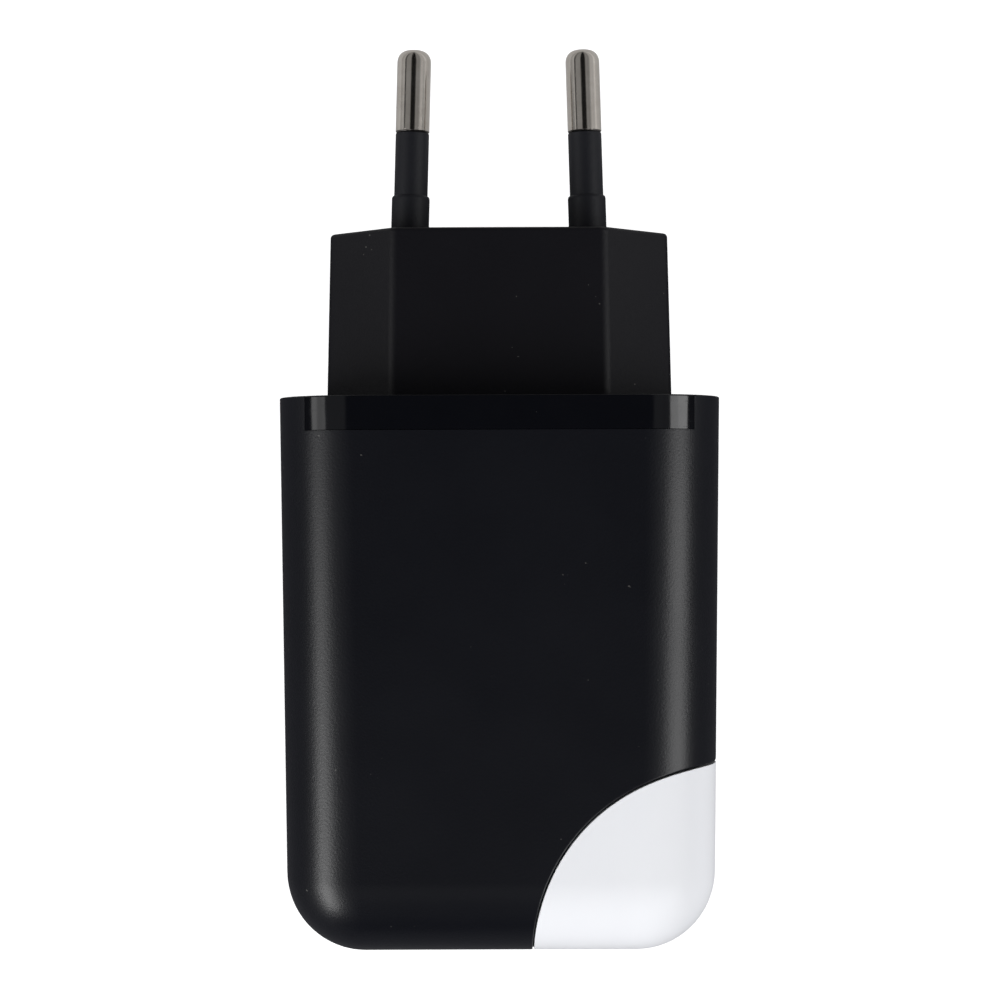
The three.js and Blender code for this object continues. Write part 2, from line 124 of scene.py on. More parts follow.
# %% A graph that adds nodes
class Graph:
    """A node tree being written."""

    def __init__(self, tree):
        self.tree = tree
        tree.nodes.clear()

    def node(self, kind, settings=None, inputs=None, output=0):
        made = self.tree.nodes.new("ShaderNode" + kind)
        for key, value in (settings or {}).items():
            if key != "stops":
                setattr(made, key, value)
                continue
            stops = made.color_ramp.elements
            stops[0].position, stops[1].position = value[0][0], value[-1][0]
            for position, _ in value[1:-1]:
                stops.new(position)
            for stop, (_, shade) in zip(stops, value):
                stop.color = (shade, shade, shade, 1) if np.isscalar(shade) else (*shade, 1)
        for key, value in (inputs or {}).items():
            if isinstance(value, Wire):
                self.tree.links.new(value.socket, made.inputs[key])
            else:
                made.inputs[key].default_value = value
        return Wire(self, made.outputs[output]) if len(made.outputs) else made

    def mixed(self, factor, first, second):
        """A colour between two others. Colours may be wires or plain red, green, blue."""
        first, second = (c if isinstance(c, Wire) else (*c, 1) for c in (first, second))
        return self.node("Mix", {"data_type": "RGBA"}, {0: factor, 6: first, 7: second}, 2)

    def ramp(self, value, *stops):
        """A number or colour read off a curve of (position, shade) stops."""
        return self.node("ValToRGB", {"stops": stops}, {"Fac": value})

    def place(self, stretch=(1, 1, 1)):
        """Where a surface point is, in millimetres, stretched to draw out a pattern."""
        spot = self.node("TexCoord", output="Object")
        scale = tuple(s / MM for s in stretch)
        return self.node("VectorMath", {"operation": "MULTIPLY"}, {0: spot, 1: scale})

    def noise(self, per_mm, detail=2.0, roughness=0.5, stretch=(1, 1, 1)):
        """Cloudy noise between about 0.2 and 0.8, with per_mm features in each millimetre."""
        return self.node("TexNoise", {}, {"Vector": self.place(stretch), "Scale": per_mm,
                                          "Detail": detail, "Roughness": roughness})

    def bump(self, height, depth_mm):
        """Normals tilted as if the surface rose by height times depth."""
        return self.node("Bump", {}, {"Height": height, "Strength": 1.0,
                                      "Distance": depth_mm * MM})


# %% A material with one Principled surface
def finish(name, write):
    """Makes a material; write(graph) returns the values and wires of its Principled sockets."""
    material = bpy.data.materials.new(name)
    material.use_nodes = True
    graph = Graph(material.node_tree)
    surface = graph.node("BsdfPrincipled", {}, write(graph))
    graph.node("OutputMaterial", {}, {"Surface": surface})
    print(f"finish {name}: {len(graph.tree.nodes)} nodes")
    return material

# %% [markdown]
# ## Black mouldings
#
# The housing is a near-black plastic from a spark-eroded mould, so its surface is a fine even
# grain about a quarter of a millimetre across. The grain could be a displacement, but it is far
# smaller than the mesh, so it is a bump. Handling has polished it unevenly, which shows only as
# a slow change of roughness, and a little dust clings to it.

# %% Dust and moulded black
def dust(g, amount=1.0):
    """A few small pale specks: the rare peaks of fine noise, inside a few loose patches."""
    fine = g.ramp(g.noise(2.6, 0.0), (0.868, 0.0), (0.892, 1.0))
    patch = g.ramp(g.noise(0.16, 0.0), (0.52, 0.0), (0.58, 1.0))
    return fine * patch * amount


HAZE, WORN_TINT = 0.04, 1.25
DUST_TINT = (0.30, 0.29, 0.27)


def moulded(name, colour, grain, depth, roughness, specks=0.25, gloss=0.3):
    """Textured black plastic: grain features per millimetre, depth in millimetres."""
    def write(g):
        texture = g.noise(grain, 2.0, 0.6)
        handled = g.noise(0.09, 3.0, 0.55)
        speck = dust(g, specks)
        base = g.mixed(handled, colour, tuple(c * WORN_TINT for c in colour))
        base = g.mixed(speck, base, DUST_TINT)
        rough = roughness - HAZE + 2 * HAZE * handled
        return {"Base Color": base, "Roughness": rough + 0.2 * speck, "IOR": 1.5,
                "Specular IOR Level": gloss, "Normal": g.bump(texture, depth)}
    return finish(name, write)


HOUSING_BLACK = moulded("housing_black", (0.0030, 0.0034, 0.0056), 4.2, 0.014, 0.33)
NOSE_BLACK = moulded("nose_black", (0.0025, 0.0024, 0.0042), 3.0, 0.024, 0.46, gloss=0.22)
SLEEVE_BLACK = moulded("sleeve_black", (0.0060, 0.0064, 0.0092), 2.8, 0.026, 0.52,
                       specks=0.1, gloss=0.24)
TONGUE_BLACK = moulded("tongue_black", (0.012, 0.012, 0.013), 5.0, 0.006, 0.38, specks=0.0)
EPOXY_BLACK = moulded("epoxy_black", (0.011, 0.011, 0.012), 6.0, 0.010, 0.55, specks=0.0)

# %% [markdown]
# ## Polished black
#
# The lid strip comes from a polished mould. Its face isn't a perfect mirror: long soft waves
# from shrinkage bend the reflections a little, and fine hairlines from wiping dull them.

# %% Polished lid
def polished(g):
    waves = g.noise(0.35, 1.0)
    fine = g.noise(6.0, 1.0)
    hairlines = g.ramp(g.noise(1.2, 2.0, 0.7, (0.15, 4.0, 1.0)), (0.60, 0.0), (0.72, 1.0))
    base = g.mixed(waves, (0.0030, 0.0033, 0.0048), (0.0036, 0.0039, 0.0055))
    return {"Base Color": g.mixed(dust(g, 0.15), base, (0.3, 0.3, 0.28)), "IOR": 1.5,
            "Specular IOR Level": 0.32,
            "Roughness": 0.07 + 0.05 * waves + 0.08 * hairlines,
            "Normal": g.bump(waves + 0.005 * fine, 0.022)}


LID_GLOSS = finish("lid_gloss", polished)

# %% [markdown]
# ## White cap
#
# The cap is a titanium-white plastic with a satin gloss. White plastic is never one white: the
# pigment swirls slightly, and the skin has the shallow waves of a smooth mould.

# %% White plastic
def white(g):
    swirl = g.noise(0.12, 3.0, 0.6, (1.0, 0.5, 1.0))
    skin = g.noise(2.2, 2.0)
    base = g.mixed(swirl, (0.86, 0.872, 0.91), (0.90, 0.91, 0.94))
    return {"Base Color": base, "IOR": 1.5, "Specular IOR Level": 0.15,
            "Roughness": 0.34 + 0.10 * swirl,
            "Normal": g.bump(skin, 0.002)}


CAP_WHITE = finish("cap_white", white)

# %% [markdown]
# ## Metals
#
# The pins are nickel over brass: bright, slightly warm, with fine scratches along their length
# from sockets. Sheet shells are rolled and plated, so their brushing runs one way, and the
# contact leaves are gold that has rubbed thin where plugs touch. All three are one recipe: a
# metal whose roughness is drawn out along the way it was worked.

# %% Worked metal
def metal(name, bright, dull, roughness, along, scratch, depth=0.001):
    """Metal with scratches drawn out along an axis; bright and dull are its two tints."""
    def write(g):
        lines = g.noise(1.0, 3.0, 0.7, along)
        cloud = g.noise(0.35, 3.0, 0.6)
        fresh = g.ramp(lines, (0.55, 0.0), (0.72, 1.0))
        tint = g.mixed(g.ramp(cloud, (0.40, 0.0), (0.66, 1.0)), bright, dull)
        return {"Base Color": tint, "Metallic": 1.0,
                "Roughness": roughness + scratch * fresh + 0.06 * cloud,
                "Normal": g.bump(lines, depth)}
    return finish(name, write)


NICKEL = metal("nickel_plate", (0.64, 0.60, 0.555), (0.56, 0.52, 0.475), 0.10,
               (14.0, 0.35, 14.0), 0.12, 0.0012)
PLATED_SHEET = metal("plated_sheet", (0.58, 0.58, 0.59), (0.48, 0.48, 0.49), 0.24,
                     (9.0, 0.4, 9.0), 0.15)
GOLD_LEAF = metal("gold_leaf", (0.80, 0.55, 0.20), (0.60, 0.42, 0.20), 0.20,
                  (10.0, 0.6, 10.0), 0.15)

# %% [markdown]
# ## Finishes inside
#
# The electronics are hidden in the closed charger, but the model can be taken apart, so each
# of its pieces gets the surface it really has.

# %% Board, core, tape and ceramic
def board_mask(g):
    """Green lacquer over copper tracks, with bare pads showing as small tinned dots."""
    cells = g.node("TexVoronoi", {"feature": "F1"}, {"Vector": g.place(), "Scale": 0.35})
    pads = g.ramp(cells, (0.16, 1.0), (0.20, 0.0))
    tracks = g.node("TexBrick", {"offset": 0.5}, {"Vector": g.place(), "Scale": 0.3,
                                                  "Mortar Size": 0.06}, "Fac")
    green = g.mixed(tracks, (0.013, 0.10, 0.036), (0.022, 0.15, 0.055))
    return {"Base Color": g.mixed(pads, green, (0.62, 0.61, 0.58)), "Metallic": pads,
            "Roughness": 0.28 + 0.1 * g.noise(1.5), "Normal": g.bump(tracks + pads, 0.03)}


def sintered(g):
    pits = g.noise(5.0, 3.0, 0.7)
    return {"Base Color": g.mixed(pits, (0.014, 0.014, 0.016), (0.036, 0.036, 0.038)),
            "Roughness": 0.5 + 0.2 * pits, "Normal": g.bump(pits, 0.03)}


def wound_tape(g):
    wraps = g.node("TexWave", {"bands_direction": "Z"}, {"Vector": g.place(), "Scale": 0.55,
                                                         "Distortion": 0.6})
    stain = g.noise(0.4, 3.0)
    base = g.mixed(stain, (0.78, 0.50, 0.05), (0.58, 0.34, 0.02))
    return {"Base Color": base, "Roughness": 0.22 + 0.12 * stain, "Normal": g.bump(wraps, 0.05)}


def glazed(pale, dark):
    def write(g):
        cloud = g.noise(0.8, 3.0, 0.6)
        return {"Base Color": g.mixed(cloud, pale, dark), "Roughness": 0.16 + 0.15 * cloud,
                "Normal": g.bump(cloud, 0.06)}
    return write


def shrink_sleeve(g):
    """A capacitor's printed sleeve: dark blue with one plain pale stripe down the can."""
    stripe = g.node("TexWave", {"bands_direction": "X"}, {"Vector": g.place(), "Scale": 0.05})
    bar = g.ramp(stripe, (0.86, 0.0), (0.90, 1.0))
    ripple = g.noise(0.6, 2.0)
    base = g.mixed(bar, (0.012, 0.023, 0.068), (0.45, 0.46, 0.50))
    return {"Base Color": base, "Roughness": 0.25 + 0.12 * ripple, "Normal": g.bump(ripple, 0.05)}


# %% Inside finishes by slot
INSIDE = {
    "board": finish("board_mask", board_mask),
    "ferrite": finish("ferrite_core", sintered),
    "tape": finish("wound_tape", wound_tape),
    "moulded_black": EPOXY_BLACK,
    "cans": finish("shrink_sleeve", shrink_sleeve),
    "fuse": finish("fuse_ceramic", glazed((0.50, 0.42, 0.28), (0.38, 0.31, 0.20))),
    "disc": finish("disc_lacquer", glazed((0.03, 0.13, 0.42), (0.02, 0.08, 0.30))),
    "contacts": GOLD_LEAF,
}

# %% [markdown]
# ## Meshes from sections
#
# Nearly every moulding here is a loft: a closed section that changes along one line. It could
# be a curve with a bevel object, but rings of points leave room for draft and rounded ends.

# %% Closed meshes from rings
def closed_mesh(name, points, faces):
    """A mesh object from points in millimetres, with its faces turned outwards."""
    mesh = bpy.data.meshes.new(name)
    mesh.from_pydata([tuple(float(c) * MM for c in p) for p in points], [], faces)
    bm = bmesh.new()
    bm.from_mesh(mesh)
    bmesh.ops.recalc_face_normals(bm, faces=bm.faces)
    bm.to_mesh(mesh)
    bm.free()
    piece = bpy.data.objects.new(name, mesh)
    bpy.context.scene.collection.objects.link(piece)
    return piece


def loft(name, rings, ends=True):
    """A skin over equal rings, closed by its two ends or, with ends=False, round on itself."""
    count, faces = len(rings[0]), []
    pairs = list(zip(range(len(rings) - 1), range(1, len(rings))))
    if not ends:
        pairs.append((len(rings) - 1, 0))
    for a, b in pairs:
        a, b = a * count, b * count
        faces += [(a + i, a + (i + 1) % count, b + (i + 1) % count, b + i) for i in range(count)]
    if ends:
        last = (len(rings) - 1) * count
        faces += [tuple(range(count)), tuple(range(last, last + count))]
    return closed_mesh(name, [p for ring in rings for p in ring], faces)


# %% Flat outlines with round corners
def rounded(corners, steps=8, flat_steps=(1,)):
    """An outline whose corners (x, z, radius), counter-clockwise, are rounded; its straight
    sides are split into flat_steps parts, taken in turn."""
    arcs = []
    for i, (x, z, radius) in enumerate(corners):
        here = np.array([x, z], float)
        back = np.array(corners[i - 1][:2], float) - here
        ahead = np.array(corners[(i + 1) % len(corners)][:2], float) - here
        back, ahead = back / np.linalg.norm(back), ahead / np.linalg.norm(ahead)
        half = math.acos(np.clip(back @ ahead, -1, 1)) / 2
        bisector = (back + ahead) / np.linalg.norm(back + ahead)
        middle = here + bisector * radius / math.sin(half)
        start = here + back * radius / math.tan(half) - middle
        end = here + ahead * radius / math.tan(half) - middle
        turn = math.pi - 2 * half
        arcs.append([middle + (math.sin(turn * (1 - k / steps)) * start
                               + math.sin(turn * k / steps) * end) / math.sin(turn)
                     for k in range(steps + 1)])
    points = []
    for i, arc in enumerate(arcs):
        points += arc
        after = arcs[(i + 1) % len(arcs)][0]
        parts = flat_steps[i % len(flat_steps)]
        points += [arc[-1] + (after - arc[-1]) * k / parts for k in range(1, parts)]
    return points


def rounded_box(half_x, half_z, radius, steps=8, x=0.0, z=0.0, flat_steps=(1,)):
    """A rectangle with round corners, centred at x, z."""
    corners = [(1, -1), (1, 1), (-1, 1), (-1, -1)]
    return rounded([(x + a * half_x, z + b * half_z, radius) for a, b in corners],
                   steps, flat_steps)


def at_y(outline, y):
    return [(p[0], y, p[1]) for p in outline]


def at_z(outline, z):
    return [(p[0], p[1], z) for p in outline]


def block(name, low, high):
    """A plain box, which only ever serves as a cutter."""
    outline = [(low[0], low[1]), (high[0], low[1]), (high[0], high[1]), (low[0], high[1])]
    return loft(name, [at_z(outline, low[2]), at_z(outline, high[2])])


# %% Turned solids
def turned(name, profile, sides, matrix):
    """Spins (radius, height) pairs about Y. The profile starts and ends on the axis, or ends
    where it starts, which leaves a bore."""
    ring = profile[0] == profile[-1]
    line = profile[:-1] if ring else profile[1:-1]
    turns = [2 * math.pi * k / sides for k in range(sides)]
    points = [(r * math.cos(a), h, r * math.sin(a)) for r, h in line for a in turns]
    pairs = [(row, row + 1) for row in range(len(line) - 1)]
    if ring:
        pairs.append((len(line) - 1, 0))
    faces = [(a * sides + i, a * sides + (i + 1) % sides, b * sides + (i + 1) % sides,
              b * sides + i) for a, b in pairs for i in range(sides)]
    if not ring:
        for row, tip in ((0, profile[0]), (len(line) - 1, profile[-1])):
            points.append((0.0, tip[1], 0.0))
            faces += [(row * sides + i, row * sides + (i + 1) % sides, len(points) - 1)
                      for i in range(sides)]
    return closed_mesh(name, [matrix @ Vector(p) for p in points], faces)


# %% [markdown]
# ## Cutting and easing edges
#
# Mouldings meet in seams, and a seam shows because both of its edges are slightly rounded. Each
# form is cut with an exact boolean, and the sharp edges that the cut leaves are bevelled. The
# modifiers could stay on the object, but once applied they give plain meshes whose shading can
# be set by hand.

# %% Booleans and bevels
def cut(piece, tool, operation="DIFFERENCE"):
    """Applies an exact boolean with tool, then removes tool."""
    change = piece.modifiers.new("cut", "BOOLEAN")
    change.operation, change.solver, change.object = operation, "EXACT", tool
    graph = bpy.context.evaluated_depsgraph_get()
    result = bpy.data.meshes.new_from_object(piece.evaluated_get(graph), depsgraph=graph)
    piece.modifiers.remove(change)
    piece.data = result
    bpy.data.objects.remove(tool, do_unlink=True)
    return piece


def ease(piece, width, segments=2, sharper_than=50.0, where=None):
    """Rounds every edge sharper than an angle, width millimetres back from it."""
    bm = bmesh.new()
    bm.from_mesh(piece.data)
    bmesh.ops.remove_doubles(bm, verts=bm.verts, dist=0.004 * MM)
    bmesh.ops.dissolve_degenerate(bm, edges=bm.edges, dist=0.01 * MM)

    def sharp_edges():
        found = [e for e in bm.edges if len(e.link_faces) == 2
                 and e.calc_face_angle(0) > math.radians(sharper_than)]
        return [e for e in found
                if not where or where((e.verts[0].co + e.verts[1].co) / 2 / MM)]

    corners = {v for e in sharp_edges() for v in e.verts}
    bmesh.ops.remove_doubles(bm, verts=list(corners), dist=0.4 * width * MM)
    bmesh.ops.bevel(bm, geom=sharp_edges(), offset=width * MM, offset_type="OFFSET",
                    segments=segments, profile=0.5, affect="EDGES", clamp_overlap=False,
                    loop_slide=False)
    bmesh.ops.remove_doubles(bm, verts=bm.verts, dist=0.001 * MM)
    bmesh.ops.recalc_face_normals(bm, faces=bm.faces)
    bm.to_mesh(piece.data)
    bm.free()
    return piece


# %% [markdown]
# Shading wants care on cut curved forms, because a boolean leaves long thin faces whose average
# normals would ripple in a gloss. Where a corner lies on the designed form, it takes the form's
# own normal. Elsewhere it takes the area-weighted mean of the faces that meet it gently.

# %% Corner normals
FORM_FITS = 0.72  # the least cosine between a face and the form's normal for the form to win


def shade(piece, form=None, smooth_below=38.0):
    """Writes each face corner's normal; form gives the true ones, or nan where it has none."""
    mesh = piece.data
    mesh.shade_smooth()
    spots = np.zeros(len(mesh.vertices) * 3)
    mesh.vertices.foreach_get("co", spots)
    true = form(spots.reshape(-1, 3) / MM) if form else None
    around = [[] for _ in mesh.vertices]
    for face in mesh.polygons:
        for v in face.vertices:
            around[v].append(face.index)
    facing = np.array([f.normal for f in mesh.polygons])
    areas = np.array([f.area for f in mesh.polygons])
    limit = math.cos(math.radians(smooth_below))
    normals = np.zeros((len(mesh.loops), 3))
    for face in mesh.polygons:
        own = facing[face.index]
        for loop, v in zip(face.loop_indices, face.vertices):
            if true is not None and true[v] @ own > FORM_FITS:
                normals[loop] = true[v]
                continue
            near = [f for f in around[v] if facing[f] @ own > limit]
            mean = (facing[near] * areas[near, None]).sum(0)
            size = np.linalg.norm(mean)
            normals[loop] = mean / size if size > 1e-12 else own
    mesh.normals_split_custom_set([tuple(n) for n in normals])
    return piece


def seat(piece, body, material, slot, *nodes):
    """Paints a piece, seats it on its body and hides the engineering nodes it stands for."""
    piece.data.materials.clear()
    piece.data.materials.append(material)
    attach(piece, body)
    if nodes:
        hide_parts(*nodes)
    print(f"{piece.name}: {len(piece.data.polygons)} faces, rides on {body}")
    return piece

# %% [markdown]
# ## The body's outer form
#
# The housing, the lid strip and the corner cap are three mouldings that share one skin. Its
# section is a rounded rectangle whose straight core narrows with the draft. At the USB end only
# the corner radius shrinks, in a quarter round, so that end is rounded all over and its corners
# are parts of a ball. One function gives the section at any height, so the three pieces are
# flush, and its slope gives their exact normals.

# %% Sizes of the body
house_low, house_high = node_box("main_housing")
lid_high = node_box("gloss_lid")[1]
TOP, END = house_high[1], house_low[1]
HALF_WIDTH, HALF_THICK = house_high[0], lid_high[2]
DRAFT = math.tan(math.radians(0.64))
EDGE, RIM_EDGE = 8.0, 0.15
WALL, LID_THICK, LID_LIP = 2.4, 2.2, 3.45
print(f"body {2 * HALF_WIDTH:.1f} x {TOP - END:.1f} x {2 * HALF_THICK:.1f} mm")


# %% Section, normals and solid of the body form
def drawn_in(distance, radius):
    """How far a quarter-round edge has drawn in at a distance before its end."""
    left = np.clip(radius - distance, 0, radius)
    return radius - np.sqrt(np.maximum(radius ** 2 - left ** 2, 0))


def body_section(y, inset=0.0, rim=RIM_EDGE):
    """Half width, half thickness and corner radius at height y, inset from the skin."""
    core = DRAFT * (TOP - y) + EDGE
    drawn = drawn_in(y - END - inset, EDGE - inset) + drawn_in(TOP - y, rim)
    radius = np.maximum(EDGE - inset - drawn, 0.1)
    return HALF_WIDTH - core + radius, HALF_THICK - core + radius, radius


def body_gap(p):
    """How far points lie outside the skin's section at their own height."""
    w, t, r = body_section(p[:, 1])
    x, z = np.abs(p[:, 0]) - (w - r), np.abs(p[:, 2]) - (t - r)
    return np.where((x > 0) & (z > 0), np.hypot(x, z), np.maximum(x, z)) - r


NEAR_SKIN, NEAR_TOP, PROBE = 0.02, 0.005, 1e-3


def body_normals(p):
    """Outward normals of the skin, and nan for points that aren't on it."""
    slope = np.zeros_like(p)
    for axis in range(3):
        high, low = p.copy(), p.copy()
        high[:, axis] += PROBE
        low[:, axis] -= PROBE
        for spots in (high, low):
            spots[:, 1] = np.clip(spots[:, 1], END + 1e-6, TOP - 1e-6)
        span = np.maximum((high - low)[:, axis], 1e-9)
        slope[:, axis] = (body_gap(high) - body_gap(low)) / span
    at_end, at_top = p[:, 1] < END + NEAR_SKIN, p[:, 1] > TOP - NEAR_TOP
    slope /= np.linalg.norm(slope, axis=1)[:, None]
    slope[at_end], slope[at_top] = (0, -1, 0), (0, 1, 0)
    slope[(np.abs(body_gap(p)) > NEAR_SKIN) & ~at_end & ~at_top] = np.nan
    return slope


END_RINGS, SHAFT_RINGS, RIM_RINGS = 18, 12, 5
FLAT_STEPS = (12, 14)  # on the side walls and the wide faces, clear of the cap's edges


def body_solid(name, inset=0.0, top=TOP, steps=14, rim=RIM_EDGE, extra=()):
    """The body form, or one set in from it, from the USB end up to top."""
    heights = [END + inset + (EDGE - inset) * (1 - math.cos(math.pi / 2 * k / END_RINGS))
               for k in range(END_RINGS + 1)]
    shaft = top - rim - heights[-1]
    heights += [heights[-1] + shaft * k / SHAFT_RINGS for k in range(1, SHAFT_RINGS)]
    heights += list(extra)
    heights += [top - rim * (1 - math.cos(math.pi / 2 * k / RIM_RINGS))
                for k in range(RIM_RINGS, -1, -1)] if rim else [top]
    rings = []
    for y in sorted(heights):
        w, t, r = (float(v) for v in body_section(y, inset, rim))
        rings.append(at_y(rounded_box(w, t, r, steps, flat_steps=FLAT_STEPS), y))
    return loft(name, rings)


# %% [markdown]
# ## Main housing
#
# A tub moulded in one piece: thin walls, open towards the plug, notched front and back for the
# lid strip, with a shallow rebate for the corner cap and two windows for the ports. It could be
# built wall by wall, but cutting one full form keeps the skin continuous across every seam.

# %% Sizes of the seams, the cap and the ports
SEAM, LID_SEAM = 0.10, 0.03
LID_HALF = lid_high[0] + 0.2
plate_under = TOP - LID_THICK
cap_low = node_box("corner_cap")[0]
CAP_THICK, CAP_FLOOR = 1.1, cap_low[2]
CAP_CENTRE = (HALF_WIDTH - DRAFT * (TOP - END), END + 0.7)
CAP_RADIUS = CAP_CENTRE[0] - cap_low[0]
shell_low, shell_high = node_box("usb_shell_left")
PORT_X = -(shell_low[0] + shell_high[0]) / 2
SHELL_HALF_W, SHELL_HALF_H = (shell_high[0] - shell_low[0]) / 2, shell_high[2]
MOUTH, SHELL_BACK = shell_low[1], shell_high[1]
print(f"cap radius {CAP_RADIUS:.1f}, ports at x = +-{PORT_X:.1f}")


# %% Housing
def cap_plug(radius, floor):
    """A tall round plug about the cap's centre: its wall is the quarter-round seam."""
    turns = [2 * math.pi * k / 192 for k in range(192)]
    ring = [(CAP_CENTRE[0] + radius * math.cos(a), CAP_CENTRE[1] + radius * math.sin(a))
            for a in turns]
    return loft("cap_plug", [at_z(ring, floor), at_z(ring, HALF_THICK + 5)])


def port_window(x):
    """A cutter for one port's window, with a small step and a chamfer at its mouth."""
    play, rings = 0.28, []
    for y, more in ((END - 1, 0.42), (END + 0.30, 0.42), (END + 0.34, 0.38), (END + 0.40, 0.10),
                    (END + 0.52, 0.0), (END + WALL + 1, 0.0)):
        rings.append(at_y(rounded_box(SHELL_HALF_W + play + more, SHELL_HALF_H + play + more,
                                      0.9 + more, 6, x), y))
    return loft("port_window", rings)


housing = body_solid("housing_shell", steps=18, extra=[TOP - LID_LIP - 0.15])
cut(housing, body_solid("tool", WALL, plate_under, 10, rim=0))
cut(housing, block("tool", (-LID_HALF, TOP - LID_LIP, -20), (LID_HALF, TOP + 1, 20)))
rebate = cap_plug(CAP_RADIUS + SEAM, CAP_FLOOR - SEAM)
cut(rebate, body_solid("tool", CAP_THICK + 0.1, TOP - 1, 10, rim=0))
cut(housing, rebate)
for side in (-1, 1):
    cut(housing, port_window(side * PORT_X))


# %% [markdown]
# Only the housing's outer edges are eased. The bevel is found by place: an edge counts when it
# lies on the skin or on the flat of the USB end. Beside the lid the two mouldings meet almost
# sharp; round the cap and the ports the edges are softer and catch the light.

# %% Easing and seating the housing
def on_skin(spot):
    return abs(body_gap(np.array([spot]))[0]) < 0.05 or spot[1] < END + 0.05


ease(housing, 0.04, where=lambda spot: on_skin(spot) and spot[1] > TOP - LID_LIP - 1)
ease(housing, 0.10, where=lambda spot: on_skin(spot) and spot[1] < END + 0.5 and spot[2] < 4)
ease(housing, 0.20, 3, where=lambda spot: on_skin(spot) and spot[1] < TOP - 9 and spot[2] > 4)
shade(housing, body_normals)
seat(housing, "charger", HOUSING_BLACK, "housing", "main_housing")

# %% [markdown]
# ## Nose section
#
# The plug's nose is a flat hexagon, so that it slides into a recessed socket only one way
# round. Its two side points and four bends are rounded by the mould, and it widens slightly
# towards the body.

# %% The nose's hexagon
NOSE_HALF, NOSE_THICK, NOSE_FLAT = 35.3 / 2, 13.7 / 2, 21.6 / 2
NOSE_DRAFT = math.tan(math.radians(1.2))
POINT_R, BEND_R = 1.2, 1.4
POINT_GROW = math.sqrt(2)
BEND_GROW = math.tan(math.radians(22.5))


def nose_outline(y, grow=0.0):
    """The nose's section at height y, offset outwards by grow."""
    wide = NOSE_DRAFT * -y
    tip = (NOSE_HALF + POINT_R * (POINT_GROW - 1) + grow * POINT_GROW) * (1 + wide / NOSE_HALF)
    thick = (NOSE_THICK + grow) * (1 + wide / NOSE_THICK)
    flat = (NOSE_FLAT + grow * BEND_GROW) * (1 + wide / NOSE_HALF)
    point, bend = max(POINT_R + grow, 0.2), max(BEND_R + grow, 0.2)
    return rounded([(tip, 0, point), (flat, thick, bend), (-flat, thick, bend),
                    (-tip, 0, point), (-flat, -thick, bend), (flat, -thick, bend)], steps=6)


def nose_prism(grow, low, high):
    return loft("nose_prism", [at_y(nose_outline(y, grow), y) for y in (low, high)])


print("nose half width at its end:", round(max(p[0] for p in nose_outline(0)), 2), "mm")

# %% [markdown]
# ## Lid strip and corner cap
#
# The polished strip drops in from the plug end and wraps over both wide faces, so the nose
# seems to grow out of a glossy band. The white cap sits flush in its rebate. Both are cut from
# the same body form as the housing, a hair smaller than their openings, and the hair is the
# seam that the eye sees.

# %% Lid
lid = body_solid("lid_strip", steps=18, extra=[TOP - LID_LIP + 0.15])
seam_half = LID_HALF - LID_SEAM
cut(lid, block("tool", (-seam_half, TOP - LID_LIP + LID_SEAM, -20), (seam_half, TOP + 1, 20)),
    "INTERSECT")
cut(lid, body_solid("tool", WALL, plate_under, 10, rim=0))
cut(lid, nose_prism(0.1, TOP - LID_LIP, 0))
ease(lid, 0.05)
shade(lid, body_normals)
seat(lid, "charger", LID_GLOSS, "lid", "gloss_lid")

# %% Cap
cap = body_solid("corner_cap_white", steps=18)
cut(cap, cap_plug(CAP_RADIUS - SEAM / 2, CAP_FLOOR + SEAM / 2), "INTERSECT")
cut(cap, body_solid("tool", CAP_THICK, TOP - 1, 10, rim=0))
ease(cap, 0.08)
shade(cap, body_normals)
seat(cap, "charger", CAP_WHITE, "corner_cap", "corner_cap")

# %% [markdown]
# ## Plug nose
#
# The nose keeps live parts out of reach and guides the plug home. It is solid around the pins
# and hollow behind them, with a flange below that the lid holds down. Lofting it in rings gives
# the soft edge round its end face, which a plain bevel would make uneven at the six corners.

# %% Nose
nose_low, nose_high = node_box("plug_block")
FLANGE_UNDER, FLANGE_THICK = nose_low[1], 1.8
NOSE_WALL, NOSE_SEAT, END_ROUND = 1.9, 6.5, 0.4
rings = [at_y(nose_outline(y), y) for y in np.linspace(FLANGE_UNDER, -END_ROUND, 8)[:-1]]
for k in range(8):
    angle = math.pi / 2 * k / 7
    inwards = -END_ROUND * (1 - math.cos(angle))
    y = -END_ROUND * (1 - math.sin(angle))
    rings.append(at_y(nose_outline(y, inwards), y))
nose = loft("plug_nose", rings)
flange = rounded_box(nose_high[0], nose_high[2], EDGE - WALL, 8)
cut(nose, loft("tool", [at_y(flange, y) for y in (FLANGE_UNDER, FLANGE_UNDER + FLANGE_THICK)]),
    "UNION")
cut(nose, nose_prism(-NOSE_WALL, FLANGE_UNDER - 1, -NOSE_SEAT))

# %% [markdown]
# The pins lean in slightly, as the standard asks, so that they grip. Everything turned about a
# pin is made upright about Y and then leaned by one matrix.

# %% Bores for the pins
PIN_SPREAD, PIN_TIP_SPREAD, PIN_LENGTH, PIN_ROOT = 18.6, 17.5, 19.24, 14.0
PIN_R, SHANK_R, SLEEVE_R, COLLAR_R = 1.77, 1.0, 1.75, 3.95 / 2
SLEEVE_ROOT, COLLAR_LENGTH, BARE_TIP, DOME = 2.5, 3.95, 8.7, 1.3
LEAN = math.atan2((PIN_SPREAD - PIN_TIP_SPREAD) / 2, PIN_LENGTH)


def pin_place(side):
    """Leans a piece turned about Y inwards, and stands it at one pin's foot."""
    return Matrix.Translation((side * PIN_SPREAD / 2, 0, 0)) @ Matrix.Rotation(side * LEAN, 4, "Z")


